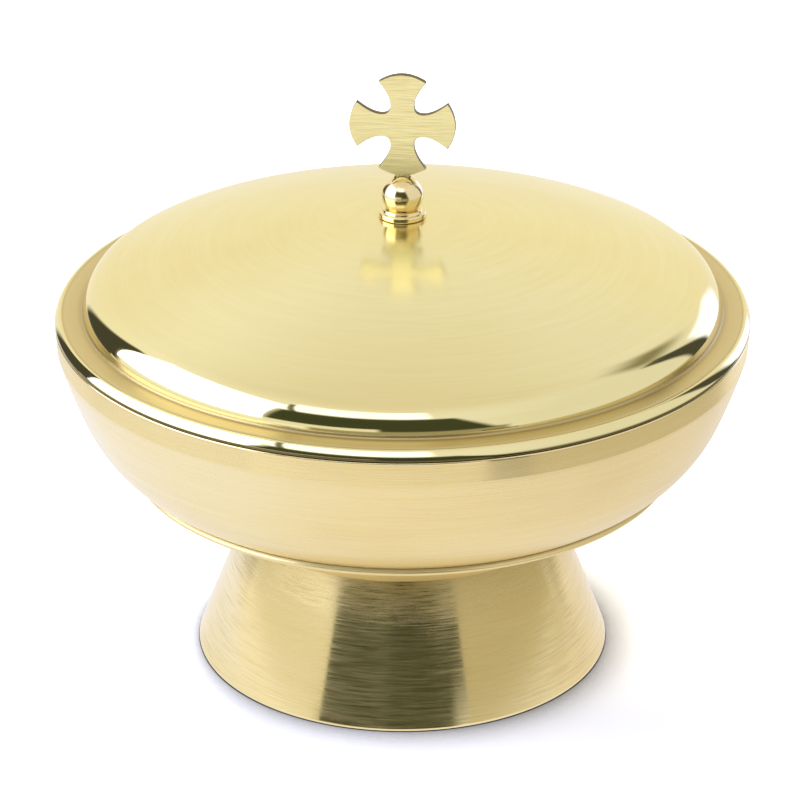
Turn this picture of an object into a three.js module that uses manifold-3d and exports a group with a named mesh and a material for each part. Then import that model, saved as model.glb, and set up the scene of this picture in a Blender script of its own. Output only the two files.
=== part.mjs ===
// Ciborium: a covered bowl on a conical foot, spun and turned from brass and gold plated.
// Millimetres, +Z up. The origin is the centre of the ring that the foot stands on.

import * as THREE from 'three';
import { mergeVertices } from 'three/addons/utils/BufferGeometryUtils.js';
import Module from 'manifold-3d';

const wasm = await Module();
wasm.setup();

// Facets
const SPUN_SEGMENTS = 60;
const TURNED_SEGMENTS = 32;
const FASTENER_SEGMENTS = 24;
const FLANK_STEPS = 2;
const TURN_STEPS = 5;
const DOME_STEPS = 5;
const SHOULDER_STEPS = 5;
const HEM_STEPS = 2;
const BALL_STEPS = 10;
const EDGE_STEPS = 2;
const OUTLINE_STEPS = 6;

// Foot: a truncated cone with a flat top plate and a hem turned in at the bottom
const FOOT_BASE_RADIUS = 50.4;
const FOOT_TOP_RADIUS = 37;
const FOOT_HEIGHT = 35.3;
const FOOT_WALL = 1.5;
const FOOT_HEM_WIDTH = 4;
const FOOT_EDGE_RADIUS = 0.5;

// Saucer: a thin polished dish that follows the bowl's cone
const SAUCER_WALL = 0.5;
const SAUCER_GAP = 0.1;

// Bowl: flat bottom, cone, tight turn, long flank and a nearly upright band under the rim
const BOWL_RADIUS = 82.4;
const BOWL_CONE_HEIGHT = 14.9;
const BOWL_TURN_RADIUS = 31.5;
const BOWL_FLANK_RADIUS = 148;
const BOWL_BAND_HEIGHT = 5.4;
const BOWL_BAND_LEAN = 0.25;
const BOWL_WALL = 1.5;
const RIM_EDGE_RADIUS = 0.35;

// How far the bowl's wall faces down at the cone, at the flank's foot and at the band's foot
const CONE_ANGLE = THREE.MathUtils.degToRad(57.5);
const FLANK_ANGLE = THREE.MathUtils.degToRad(22.3);
const BAND_ANGLE = THREE.MathUtils.degToRad(16.1);

// Fastening of foot, saucer and bowl
const STUD_RADIUS = 4;
const STUD_END = 1.8;
const HOLE_CLEARANCE = 0.15;
const FOOT_WASHER_RADIUS = 12;
const FOOT_WASHER_THICKNESS = 1.6;
const FOOT_NUT_FLATS = 13;
const FOOT_NUT_THICKNESS = 6.5;
const FACE_GAP = 0.05;
const THREAD_CHAMFER = 0.4;
const NUT_CHAMFER = 0.4;

// Lid: shallow dome, steep polished shoulder and flat flange
const LID_OVERHANG = 0.1;
const LID_SEAT_GAP = 0.25;
const LID_WALL = 1.2;
const FLANGE_WIDTH = 6.85;
const FLANGE_FILLET_RADIUS = 0.6;
const SHOULDER_RADIUS = 8.4;
const DOME_RADIUS = 180;

// Hem: the lid's folded edge, whose outside goes up a lip, over a sloping face and round a crest
const HEM_WIDTH = 2.9;
const HEM_EDGE = 0.15;
const HEM_LIP_RADIUS = 1.9;
const HEM_SLOPE_RADIUS = 8;
const HEM_CREST_RADIUS = 0.4;
const HEM_LIP_ANGLE = THREE.MathUtils.degToRad(30);
const HEM_CREST_ANGLE = THREE.MathUtils.degToRad(40);

// Ring under the lid that keeps it centred in the bowl's mouth
const LOCATING_RING_DEPTH = 6;
const LOCATING_RING_WALL = 1.2;
const LOCATING_RING_CHAMFER = 0.5;
const LID_PLAY = 1.6;
const RING_TO_HEM_GAP = 0.3;

// Collar and ball under the cross
const COLLAR_RADIUS = 5.65;
const COLLAR_DISC_HEIGHT = 1.3;
const COLLAR_STEP_RADIUS = 4.65;
const COLLAR_STEP_HEIGHT = 0.7;
const COLLAR_EDGE_RADIUS = 0.3;
const BALL_RADIUS = 4.9;
const BALL_SEAT_RADIUS = 3.7;

// Cross: four flared arms of one flat plate, and a tang that stands in the ball
const ARM_REACH = 10.6;
const ARM_END_BULGE = 1.85;
const ARM_END_HALF_WIDTH = 5.6;
const WAIST_HALF_WIDTH = 2.8;
const WAIST_REACH = 4.85;
const FLARE_START = 7.2;
const PLATE_THICKNESS = 1.5;
const PLATE_BEVEL = 0.15;
const CROSS_SEAT_GAP = 0.15;
const TANG_WIDTH = 3.2;
const TANG_THICKNESS = 1.2;
const TANG_LENGTH = 2.8;
const TANG_ROOT = 1;
const MORTISE_CLEARANCE = 0.3;

// Fastening of the finial
const FINIAL_STUD_RADIUS = 2;
const FINIAL_STUD_END = 1;
const BALL_WEB = 1;
const FINIAL_WASHER_RADIUS = 5;
const FINIAL_WASHER_THICKNESS = 0.8;
const FINIAL_WASHER_GAP = 0.25;
const FINIAL_NUT_FLATS = 7;
const FINIAL_NUT_THICKNESS = 3.2;

// Heights that follow from the sizes above, from the table up
const bowlBottomZ = FOOT_HEIGHT + SAUCER_WALL;
const coneTopZ = bowlBottomZ + BOWL_CONE_HEIGHT;
const turnTopZ = coneTopZ + BOWL_TURN_RADIUS * (Math.sin(CONE_ANGLE) - Math.sin(FLANK_ANGLE));
const bandFootZ = turnTopZ + BOWL_FLANK_RADIUS * (Math.sin(FLANK_ANGLE) - Math.sin(BAND_ANGLE));
const bowlRimZ = bandFootZ + BOWL_BAND_HEIGHT;
const footWasherTopZ = FOOT_HEIGHT - FOOT_WALL - FACE_GAP;
const footWasherUnderZ = footWasherTopZ - FOOT_WASHER_THICKNESS;
const footNutTopZ = footWasherUnderZ - FACE_GAP;
const footNutUnderZ = footNutTopZ - FOOT_NUT_THICKNESS;
const lidSeatZ = bowlRimZ + LID_SEAT_GAP;
const lipRise = HEM_LIP_RADIUS * Math.sin(HEM_LIP_ANGLE);
const slopeRise = HEM_SLOPE_RADIUS * (Math.sin(HEM_CREST_ANGLE) - Math.sin(HEM_LIP_ANGLE));
const crestRise = HEM_CREST_RADIUS * (1 - Math.sin(HEM_CREST_ANGLE));
const flangeTopZ = lidSeatZ + HEM_EDGE + lipRise + slopeRise + crestRise;
const flangeUnderZ = flangeTopZ - LID_WALL;

// The bowl's widths, from the rim inwards
const bandFootRadius = BOWL_RADIUS - BOWL_BAND_LEAN;
const turnTopRadius = bandFootRadius - BOWL_FLANK_RADIUS * (Math.cos(BAND_ANGLE) - Math.cos(FLANK_ANGLE));
const coneTopRadius = turnTopRadius - BOWL_TURN_RADIUS * (Math.cos(FLANK_ANGLE) - Math.cos(CONE_ANGLE));

// The lid's widths, and the centres of the shoulder and of the dome that is tangent to it
const lidRadius = BOWL_RADIUS + LID_OVERHANG;
const hemInnerRadius = lidRadius - HEM_WIDTH;
const domeFootRadius = lidRadius - FLANGE_WIDTH;
const shoulderCentreRadius = domeFootRadius - SHOULDER_RADIUS;
const tangentReach = DOME_RADIUS - SHOULDER_RADIUS;
const domeCentreZ = flangeTopZ - Math.sqrt(tangentReach ** 2 - shoulderCentreRadius ** 2);
const shoulderStartAngle = Math.acos(shoulderCentreRadius / tangentReach);

// The finial's heights
const collarBaseZ = domeCentreZ + DOME_RADIUS;
const collarHeight = COLLAR_DISC_HEIGHT + COLLAR_STEP_HEIGHT;
const ballSeatZ = collarBaseZ + collarHeight;
const ballCentreZ = ballSeatZ + Math.sqrt(BALL_RADIUS ** 2 - BALL_SEAT_RADIUS ** 2);
const crossFootZ = ballCentreZ + BALL_RADIUS + CROSS_SEAT_GAP;
const crossCentreZ = crossFootZ + ARM_REACH + ARM_END_BULGE;
const mortiseFloorZ = crossFootZ - TANG_LENGTH - MORTISE_CLEARANCE;
const ballDrillTopZ = mortiseFloorZ - BALL_WEB;

const studHoleRadius = STUD_RADIUS + HOLE_CLEARANCE;
const finialHoleRadius = FINIAL_STUD_RADIUS + HOLE_CLEARANCE;

const satinGold = { color: 0xd9c48c, roughness: 0.34, metalness: 1 };
const polishedGold = { color: 0xe6cf8f, roughness: 0.1, metalness: 1 };
const plainBrass = { color: 0xb9a05e, roughness: 0.4, metalness: 1 };

function point(radius, z) {
  return new THREE.Vector2(radius, z);
}

// Points on a circle about (radius, z), from one angle to another, counted from +r towards +z
function arc(radius, z, size, from, to, steps) {
  const points = [];
  for (let i = 0; i <= steps; i += 1) {
    const angle = from + (to - from) * i / steps;
    points.push(point(radius + size * Math.cos(angle), z + size * Math.sin(angle)));
  }
  return points;
}

// An arc of the bowl's wall, moved outwards by an offset, that ends on (endRadius, endZ) at no offset
function wallArc(endRadius, endZ, size, offset, from, to, steps) {
  const centreRadius = endRadius - size * Math.cos(to);
  const centreZ = endZ + size * Math.sin(to);
  return arc(centreRadius, centreZ, size + offset, -from, -to, steps);
}

// The radius at which the bowl's cone, moved outwards by an offset, has come down to a height
function coneRadius(offset, z) {
  return coneTopRadius + offset / Math.cos(CONE_ANGLE) - (coneTopZ - z) * Math.tan(CONE_ANGLE);
}

// The bowl's wall from the bottom of its cone up to the band's foot
function bowlWall(offset, bottomZ) {
  const turn = wallArc(
    turnTopRadius, turnTopZ, BOWL_TURN_RADIUS, offset, CONE_ANGLE, FLANK_ANGLE, TURN_STEPS,
  );
  const flank = wallArc(
    bandFootRadius, bandFootZ, BOWL_FLANK_RADIUS, offset, FLANK_ANGLE, BAND_ANGLE, FLANK_STEPS,
  );
  return [point(coneRadius(offset, bottomZ), bottomZ), ...turn, ...flank.slice(1)];
}

function named(name, geometry, finish) {
  const mesh = new THREE.Mesh(geometry, new THREE.MeshStandardMaterial(finish));
  mesh.name = name;
  return mesh;
}

// Revolves a counter-clockwise profile of (radius, z) points about the Z axis
function revolve(profile, segments) {
  const geometry = new THREE.LatheGeometry(profile, segments);
  geometry.rotateX(Math.PI / 2);
  return geometry;
}

function revolveClosed(profile, segments) {
  return revolve([...profile, profile[0].clone()], segments);
}

// A flat ring between two radii and two heights
function washer(innerRadius, outerRadius, bottomZ, topZ) {
  const profile = [
    point(innerRadius, bottomZ),
    point(outerRadius, bottomZ),
    point(outerRadius, topZ),
    point(innerRadius, topZ),
  ];
  return revolveClosed(profile, FASTENER_SEGMENTS);
}

// A rod whose lower end is chamfered, where its thread begins
function stud(radius, bottomZ, topZ) {
  const profile = [
    point(0, bottomZ),
    point(radius - THREAD_CHAMFER, bottomZ),
    point(radius, bottomZ + THREAD_CHAMFER),
    point(radius, topZ),
    point(0, topZ),
  ];
  return revolve(profile, FASTENER_SEGMENTS);
}

function toSolid(geometry) {
  const bare = geometry.clone();
  bare.deleteAttribute('normal');
  bare.deleteAttribute('uv');
  const merged = mergeVertices(bare);
  const mesh = new wasm.Mesh({
    numProp: 3,
    vertProperties: merged.attributes.position.array,
    triVerts: new Uint32Array(merged.index.array),
  });
  return new wasm.Manifold(mesh);
}

function toGeometry(solid) {
  const mesh = solid.getMesh();
  const geometry = new THREE.BufferGeometry();
  geometry.setAttribute('position', new THREE.BufferAttribute(mesh.vertProperties, 3));
  geometry.setIndex(new THREE.BufferAttribute(mesh.triVerts, 1));
  geometry.computeVertexNormals();
  return geometry;
}

function box(width, depth, bottomZ, topZ) {
  const geometry = new THREE.BoxGeometry(width, depth, topZ - bottomZ);
  geometry.translate(0, 0, (bottomZ + topZ) / 2);
  return geometry;
}

// The foot's spun shell: hem, rounded outer edge, straight flank, rounded shoulder and top plate
function footShell() {
  const flankAngle = Math.atan2(FOOT_HEIGHT, FOOT_BASE_RADIUS - FOOT_TOP_RADIUS);
  const flankNormal = Math.PI / 2 - flankAngle;
  const wallRun = FOOT_WALL / Math.sin(flankAngle);
  const runPerHeight = (FOOT_BASE_RADIUS - FOOT_TOP_RADIUS) / FOOT_HEIGHT;
  const flankRadius = (z) => FOOT_BASE_RADIUS - runPerHeight * z;
  const edgeRadius = FOOT_EDGE_RADIUS;
  const edgeRun = edgeRadius / Math.sin(flankAngle);
  const lowEdge = arc(
    flankRadius(edgeRadius) - edgeRun, edgeRadius, edgeRadius, -Math.PI / 2, flankNormal, EDGE_STEPS,
  );
  const topEdgeZ = FOOT_HEIGHT - edgeRadius;
  const topEdge = arc(
    flankRadius(topEdgeZ) - edgeRun, topEdgeZ, edgeRadius, flankNormal, Math.PI / 2, EDGE_STEPS,
  );
  const plateUnderZ = FOOT_HEIGHT - FOOT_WALL;
  const hemInnerRadius = flankRadius(FOOT_WALL) - wallRun - FOOT_HEM_WIDTH;
  const profile = [
    point(hemInnerRadius, 0),
    ...lowEdge,
    ...topEdge,
    point(studHoleRadius, FOOT_HEIGHT),
    point(studHoleRadius, plateUnderZ),
    point(flankRadius(plateUnderZ) - wallRun, plateUnderZ),
    point(flankRadius(FOOT_WALL) - wallRun, FOOT_WALL),
    point(hemInnerRadius, FOOT_WALL),
  ];
  return named('foot_shell', revolveClosed(profile, SPUN_SEGMENTS), satinGold);
}

// The saucer lies flat on the foot's plate and then follows the bowl's cone at a small gap
function footSaucer() {
  const outside = SAUCER_GAP + SAUCER_WALL;
  const edge = (offset) => point(
    coneTopRadius + offset * Math.cos(CONE_ANGLE), coneTopZ - offset * Math.sin(CONE_ANGLE),
  );
  const profile = [
    point(studHoleRadius, FOOT_HEIGHT),
    point(coneRadius(outside, FOOT_HEIGHT), FOOT_HEIGHT),
    edge(outside),
    edge(SAUCER_GAP),
    point(coneRadius(SAUCER_GAP, bowlBottomZ), bowlBottomZ),
    point(studHoleRadius, bowlBottomZ),
  ];
  return named('foot_saucer', revolveClosed(profile, SPUN_SEGMENTS), polishedGold);
}

// The bowl: outer and inner wall, each with its band above, joined by a rim whose two edges are rounded
function bowlShell() {
  const floorZ = bowlBottomZ + BOWL_WALL;
  const outer = bowlWall(0, bowlBottomZ);
  const inner = bowlWall(-BOWL_WALL, floorZ);
  const edgeZ = bowlRimZ - RIM_EDGE_RADIUS;
  const mouthRadius = BOWL_RADIUS - BOWL_WALL;
  const outerCentre = BOWL_RADIUS - RIM_EDGE_RADIUS;
  const innerCentre = mouthRadius + RIM_EDGE_RADIUS;
  const outerEdge = arc(outerCentre, edgeZ, RIM_EDGE_RADIUS, 0, Math.PI / 2, EDGE_STEPS);
  const innerEdge = arc(innerCentre, edgeZ, RIM_EDGE_RADIUS, Math.PI / 2, Math.PI, EDGE_STEPS);
  const profile = [
    point(0, bowlBottomZ),
    ...outer,
    ...outerEdge,
    ...innerEdge,
    ...inner.reverse(),
    point(0, floorZ),
  ];
  return named('bowl_shell', revolve(profile, SPUN_SEGMENTS), satinGold);
}

// The stud is soldered to the bowl's flat bottom and reaches down through saucer and foot
function bowlStud() {
  return named('bowl_stud', stud(STUD_RADIUS, footNutUnderZ - STUD_END, bowlBottomZ), plainBrass);
}

// A hexagon nut with its round chamfer on both faces
function hexNut(flats, holeRadius, bottomZ, topZ) {
  const cornerRadius = flats / Math.sqrt(3);
  const outline = new THREE.Shape();
  for (let i = 0; i < 6; i += 1) {
    const angle = i * Math.PI / 3;
    const corner = [cornerRadius * Math.cos(angle), cornerRadius * Math.sin(angle)];
    if (i === 0) outline.moveTo(...corner);
    else outline.lineTo(...corner);
  }
  const height = topZ - bottomZ;
  const prism = new THREE.ExtrudeGeometry(outline, { depth: height, bevelEnabled: false });
  prism.translate(0, 0, bottomZ);
  const barrel = revolveClosed([
    point(holeRadius, bottomZ),
    point(flats / 2, bottomZ),
    point(cornerRadius, bottomZ + NUT_CHAMFER),
    point(cornerRadius, topZ - NUT_CHAMFER),
    point(flats / 2, topZ),
    point(holeRadius, topZ),
  ], FASTENER_SEGMENTS);
  return toGeometry(toSolid(prism).intersect(toSolid(barrel)));
}

// Washer and nut inside the foot, which draw the foot, the saucer and the bowl together
function footFasteners() {
  const ring = washer(studHoleRadius, FOOT_WASHER_RADIUS, footWasherUnderZ, footWasherTopZ);
  const nut = hexNut(FOOT_NUT_FLATS, studHoleRadius, footNutUnderZ, footNutTopZ);
  return [named('foot_washer', ring, plainBrass), named('foot_nut', nut, plainBrass)];
}

// A centre moved along one of its own radii, so that the next arc is tangent to the last
function nextCentre(centre, radius, nextRadius, angle) {
  const shift = radius - nextRadius;
  return point(centre.x + shift * Math.cos(angle), centre.y + shift * Math.sin(angle));
}

// The hem's outside, from the seat up to the flange
function hemOutside() {
  const lip = point(lidRadius - HEM_LIP_RADIUS, lidSeatZ + HEM_EDGE);
  const slope = nextCentre(lip, HEM_LIP_RADIUS, HEM_SLOPE_RADIUS, HEM_LIP_ANGLE);
  const crest = nextCentre(slope, HEM_SLOPE_RADIUS, HEM_CREST_RADIUS, HEM_CREST_ANGLE);
  return [
    point(lidRadius - HEM_EDGE, lidSeatZ),
    ...arc(lip.x, lip.y, HEM_LIP_RADIUS, 0, HEM_LIP_ANGLE, HEM_STEPS),
    ...arc(slope.x, slope.y, HEM_SLOPE_RADIUS, HEM_LIP_ANGLE, HEM_CREST_ANGLE, HEM_STEPS).slice(1),
    ...arc(crest.x, crest.y, HEM_CREST_RADIUS, HEM_CREST_ANGLE, Math.PI / 2, HEM_STEPS).slice(1),
  ];
}

// The lid: underside outwards, round the hem, then over flange, shoulder and dome
function lidShell() {
  const shoulderFootAngle = Math.asin(FLANGE_FILLET_RADIUS / SHOULDER_RADIUS);
  const fillet = arc(
    domeFootRadius + FLANGE_FILLET_RADIUS, flangeTopZ + FLANGE_FILLET_RADIUS, FLANGE_FILLET_RADIUS,
    -Math.PI / 2, -Math.PI, EDGE_STEPS,
  );
  const shoulder = arc(
    shoulderCentreRadius, flangeTopZ, SHOULDER_RADIUS,
    shoulderFootAngle, shoulderStartAngle, SHOULDER_STEPS,
  );
  const innerShoulder = arc(
    shoulderCentreRadius, flangeTopZ, SHOULDER_RADIUS - LID_WALL,
    shoulderStartAngle, 0, SHOULDER_STEPS,
  );
  const holeAngle = Math.acos(finialHoleRadius / DOME_RADIUS);
  const dome = arc(0, domeCentreZ, DOME_RADIUS, shoulderStartAngle, holeAngle, DOME_STEPS);
  const innerHoleAngle = Math.acos(finialHoleRadius / (DOME_RADIUS - LID_WALL));
  const innerDome = arc(
    0, domeCentreZ, DOME_RADIUS - LID_WALL, innerHoleAngle, shoulderStartAngle, DOME_STEPS,
  );
  const profile = [
    ...innerDome,
    ...innerShoulder.slice(1),
    point(domeFootRadius - LID_WALL, flangeUnderZ),
    point(hemInnerRadius, flangeUnderZ),
    point(hemInnerRadius, lidSeatZ),
    ...hemOutside(),
    ...fillet,
    ...shoulder.slice(1),
    ...dome.slice(1),
  ];
  return named('lid_shell', revolveClosed(profile, SPUN_SEGMENTS), satinGold);
}

// The locating ring clears the bowl's mouth and stands inside the hem
function lidLocatingRing() {
  const insideMouth = BOWL_RADIUS - BOWL_WALL - LID_PLAY;
  const insideHem = hemInnerRadius - RING_TO_HEM_GAP;
  const outerRadius = Math.min(insideMouth, insideHem);
  const innerRadius = outerRadius - LOCATING_RING_WALL;
  const bottomZ = flangeUnderZ - LOCATING_RING_DEPTH;
  const profile = [
    point(innerRadius, bottomZ),
    point(outerRadius - LOCATING_RING_CHAMFER, bottomZ),
    point(outerRadius, bottomZ + LOCATING_RING_CHAMFER),
    point(outerRadius, flangeUnderZ),
    point(innerRadius, flangeUnderZ),
  ];
  return named('lid_locating_ring', revolveClosed(profile, SPUN_SEGMENTS), polishedGold);
}

// The collar: a disc and a narrower step, with their outer edges rounded
function finialCollar() {
  const edge = COLLAR_EDGE_RADIUS;
  const discTopZ = collarBaseZ + COLLAR_DISC_HEIGHT;
  const discRadius = COLLAR_RADIUS - edge;
  const stepRadius = COLLAR_STEP_RADIUS - edge;
  const profile = [
    point(finialHoleRadius, collarBaseZ),
    ...arc(discRadius, collarBaseZ + edge, edge, -Math.PI / 2, 0, EDGE_STEPS),
    ...arc(discRadius, discTopZ - edge, edge, 0, Math.PI / 2, EDGE_STEPS),
    point(COLLAR_STEP_RADIUS, discTopZ),
    ...arc(stepRadius, ballSeatZ - edge, edge, 0, Math.PI / 2, EDGE_STEPS),
    point(finialHoleRadius, ballSeatZ),
  ];
  return named('finial_collar', revolveClosed(profile, TURNED_SEGMENTS), polishedGold);
}

// The ball: flat where it sits, drilled for the stud from below and mortised for the cross above
function finialBall() {
  const seatAngle = -Math.acos(BALL_SEAT_RADIUS / BALL_RADIUS);
  const outside = arc(0, ballCentreZ, BALL_RADIUS, seatAngle, Math.PI / 2, BALL_STEPS);
  const profile = [
    point(0, ballDrillTopZ),
    point(finialHoleRadius, ballDrillTopZ),
    point(finialHoleRadius, ballSeatZ),
    ...outside.slice(0, BALL_STEPS),
    point(0, ballCentreZ + BALL_RADIUS),
  ];
  const mortise = box(
    TANG_WIDTH + 2 * MORTISE_CLEARANCE,
    TANG_THICKNESS + 2 * MORTISE_CLEARANCE,
    mortiseFloorZ,
    crossFootZ,
  );
  const ball = toSolid(revolve(profile, TURNED_SEGMENTS)).subtract(toSolid(mortise));
  return named('finial_ball', toGeometry(ball), polishedGold);
}

// One arm of the cross's outline: the rounded inner corner, a flaring side, the bowed end, the other side
function addArm(outline, turn) {
  const place = (side, reach) => {
    const spot = point(side, reach).rotateAround(point(0, 0), turn);
    return [spot.x, spot.y];
  };
  const waist = WAIST_HALF_WIDTH;
  const tip = ARM_END_HALF_WIDTH;
  // A quadratic curve rises half as high as its control point
  const bow = ARM_REACH + 2 * ARM_END_BULGE;
  outline.quadraticCurveTo(...place(waist, waist), ...place(waist, WAIST_REACH));
  outline.quadraticCurveTo(...place(waist, FLARE_START), ...place(tip, ARM_REACH));
  outline.quadraticCurveTo(...place(0, bow), ...place(-tip, ARM_REACH));
  outline.quadraticCurveTo(...place(-waist, FLARE_START), ...place(-waist, WAIST_REACH));
}

// The cross: its plate, with a small bevel along every edge, and the tang under its lower arm
function finialCross() {
  const outline = new THREE.Shape();
  outline.moveTo(WAIST_REACH, WAIST_HALF_WIDTH);
  for (let i = 0; i < 4; i += 1) addArm(outline, i * Math.PI / 2);
  const plate = new THREE.ExtrudeGeometry(outline, {
    depth: PLATE_THICKNESS - 2 * PLATE_BEVEL,
    curveSegments: OUTLINE_STEPS,
    bevelThickness: PLATE_BEVEL,
    bevelSize: PLATE_BEVEL,
    bevelOffset: -PLATE_BEVEL,
    bevelSegments: 1,
  });
  plate.rotateX(Math.PI / 2);
  plate.translate(0, PLATE_THICKNESS / 2 - PLATE_BEVEL, crossCentreZ);
  const tang = box(TANG_WIDTH, TANG_THICKNESS, crossFootZ - TANG_LENGTH, crossFootZ + TANG_ROOT);
  const cross = toSolid(plate).add(toSolid(tang));
  return named('finial_cross', toGeometry(cross), satinGold);
}

// Stud, washer and nut that draw the finial down on the lid
function finialFasteners() {
  const underRadius = DOME_RADIUS - LID_WALL;
  const washerEdgeZ = domeCentreZ + Math.sqrt(underRadius ** 2 - FINIAL_WASHER_RADIUS ** 2);
  const washerTopZ = washerEdgeZ - FINIAL_WASHER_GAP;
  const washerUnderZ = washerTopZ - FINIAL_WASHER_THICKNESS;
  const nutTopZ = washerUnderZ - FACE_GAP;
  const nutUnderZ = nutTopZ - FINIAL_NUT_THICKNESS;
  const bolt = stud(FINIAL_STUD_RADIUS, nutUnderZ - FINIAL_STUD_END, ballDrillTopZ - HOLE_CLEARANCE);
  const ring = washer(finialHoleRadius, FINIAL_WASHER_RADIUS, washerUnderZ, washerTopZ);
  const nut = hexNut(FINIAL_NUT_FLATS, finialHoleRadius, nutUnderZ, nutTopZ);
  return [
    named('finial_stud', bolt, plainBrass),
    named('finial_washer', ring, plainBrass),
    named('finial_nut', nut, plainBrass),
  ];
}

const stand = new THREE.Group();
stand.add(footShell(), footSaucer(), bowlShell(), bowlStud(), ...footFasteners());

const lid = new THREE.Group();
lid.add(lidShell(), lidLocatingRing(), finialCollar(), finialBall(), finialCross(), ...finialFasteners());

const ciborium = new THREE.Group();
ciborium.add(stand, lid);

export default ciborium;
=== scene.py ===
# %% [markdown]
# # A covered bowl in gold plate
#
# The object is a ciborium: a shallow bowl on a conical foot, with a domed lid that lifts off and a
# small flared cross on a ball. Every large piece was spun or turned on a lathe, so nearly all of it
# is a profile carried round one upright axis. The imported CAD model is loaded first, because it
# fixes where every piece stands. The fine pieces that are seen are then made on the same sizes.

from collections import namedtuple
from functools import partial
from math import acos, asin, atan, ceil, cos, hypot, pi, radians, sin, sqrt, tan
from types import SimpleNamespace as Sizes

import bmesh
import bpy
from mathutils import Matrix, Vector


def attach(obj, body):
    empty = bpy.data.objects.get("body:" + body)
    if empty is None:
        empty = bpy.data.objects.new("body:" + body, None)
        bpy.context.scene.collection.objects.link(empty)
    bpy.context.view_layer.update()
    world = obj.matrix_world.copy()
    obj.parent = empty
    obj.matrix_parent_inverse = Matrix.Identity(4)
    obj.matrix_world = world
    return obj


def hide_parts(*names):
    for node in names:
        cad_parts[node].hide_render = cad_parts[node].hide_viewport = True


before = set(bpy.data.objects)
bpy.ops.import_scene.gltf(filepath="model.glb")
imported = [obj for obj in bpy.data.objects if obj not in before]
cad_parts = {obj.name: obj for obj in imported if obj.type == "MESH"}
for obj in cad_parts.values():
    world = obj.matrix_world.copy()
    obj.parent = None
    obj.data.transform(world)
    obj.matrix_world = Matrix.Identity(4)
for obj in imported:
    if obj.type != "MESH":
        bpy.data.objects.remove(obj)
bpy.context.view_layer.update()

# %% [markdown]
# ## Sizes
#
# A metal spinner works from a drawing in millimetres. Blender works in metres, so one factor turns
# the drawing's numbers into scene units wherever a profile becomes a mesh.

# %% Drawing sizes in millimetres
MM = 0.001
AROUND = dict(shell=288, finial=144, nut=96, thread=48)

# The foot's last size is the stretch below its top, under the bowl, that is darkened as painted shade.
FOOT = Sizes(base=50.4, top=37.0, height=35.3, wall=1.5, hem=4.0, edge=0.5, soft=0.25,
             top_turn=1.0, hem_turn=0.8, dull=14.0)
SAUCER = Sizes(wall=0.5, gap=0.1, bead=0.7, turn=0.8)
BOWL = Sizes(radius=82.4, cone=14.9, turn=31.5, flank=148.0, band=5.4, lean=0.25, wall=1.5, edge=0.35,
             cone_angle=radians(57.5), flank_angle=radians(22.3), band_angle=radians(16.1))
LID = Sizes(overhang=0.1, gap=0.25, wall=1.2, width=6.85, fillet=0.6, shoulder=8.4, dome=180.0,
            satin_to=66.0, mirror_from=68.5)
HEM = Sizes(width=2.9, edge=0.15, lip=1.9, slope=8.0, crest=0.4,
            lip_angle=radians(30), crest_angle=radians(40))
RING = Sizes(depth=6.0, wall=1.2, chamfer=0.5, play=1.6, to_hem=0.3)
STUDS = dict(foot=Sizes(radius=4.0, pitch=1.25, end=1.8), finial=Sizes(radius=2.0, pitch=0.7, end=1.0))
HOLE_PLAY = 0.15

steep, level, upright = map(sin, (BOWL.cone_angle, BOWL.flank_angle, BOWL.band_angle))
bowl_bottom = FOOT.height + SAUCER.wall
cone_top = bowl_bottom + BOWL.cone
turn_top = cone_top + BOWL.turn * (steep - level)
band_foot = turn_top + BOWL.flank * (level - upright)
bowl_rim = band_foot + BOWL.band
band_radius = BOWL.radius - BOWL.lean
turn_radius = band_radius - BOWL.flank * (cos(BOWL.band_angle) - cos(BOWL.flank_angle))
cone_radius = turn_radius - BOWL.turn * (cos(BOWL.flank_angle) - cos(BOWL.cone_angle))

low, high = sin(HEM.lip_angle), sin(HEM.crest_angle)
lid_seat = bowl_rim + LID.gap
flange_top = lid_seat + HEM.edge + HEM.lip * low + HEM.slope * (high - low) + HEM.crest * (1 - high)
lid_radius = BOWL.radius + LID.overhang
hem_inner = lid_radius - HEM.width
dome_foot = lid_radius - LID.width
shoulder_centre = dome_foot - LID.shoulder
dome_reach = LID.dome - LID.shoulder
dome_centre = flange_top - sqrt(dome_reach ** 2 - shoulder_centre ** 2)
dome_start = acos(shoulder_centre / dome_reach)
dome_top = dome_centre + LID.dome
inner_dome = LID.dome - LID.wall
foot_hole, finial_hole = (STUDS[place].radius + HOLE_PLAY for place in ("foot", "finial"))
print("bowl rim", round(bowl_rim, 2), "flange", round(flange_top, 2), "dome top", round(dome_top, 2))

# %% [markdown]
# ## Drawing a profile
#
# A profile is a list of stations. Each has a radius and a height, and four marks that the finish uses
# later: an edge, where plate rubs thin and shines; a dull stretch, which the polishing wheel reaches
# less well, so it is rougher, and which is darkened as painted shade on insides, undersides, the
# flange and corners; a painted dark line, a painted shadow and dark reflection in gaps and corners;
# and a mirror polish.

# %% Helpers for profiles
MARKS = ("edge", "dull", "seam", "polish")
Station = namedtuple("Station", ("radius", "height") + MARKS, defaults=(0.0, 0.0, 0.0, 0.0))


def arc(radius, height, size, start, end, steps, *marks):
    stations = []
    for i in range(steps + 1):
        angle = start + (end - start) * i / steps
        stations.append(Station(radius + size * cos(angle), height + size * sin(angle), *marks))
    return stations


def wall_arc(size, end_radius, end_height, offset, start, end, steps, *marks):
    """An arc of the bowl's wall that ends on a given point, moved outwards by an offset."""
    centre = end_radius - size * cos(end), end_height + size * sin(end)
    return arc(*centre, size + offset, -start, -end, steps, *marks)


def cone_at(offset, height):
    slant = BOWL.cone_angle
    return cone_radius + offset / cos(slant) - (cone_top - height) * tan(slant)


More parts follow.
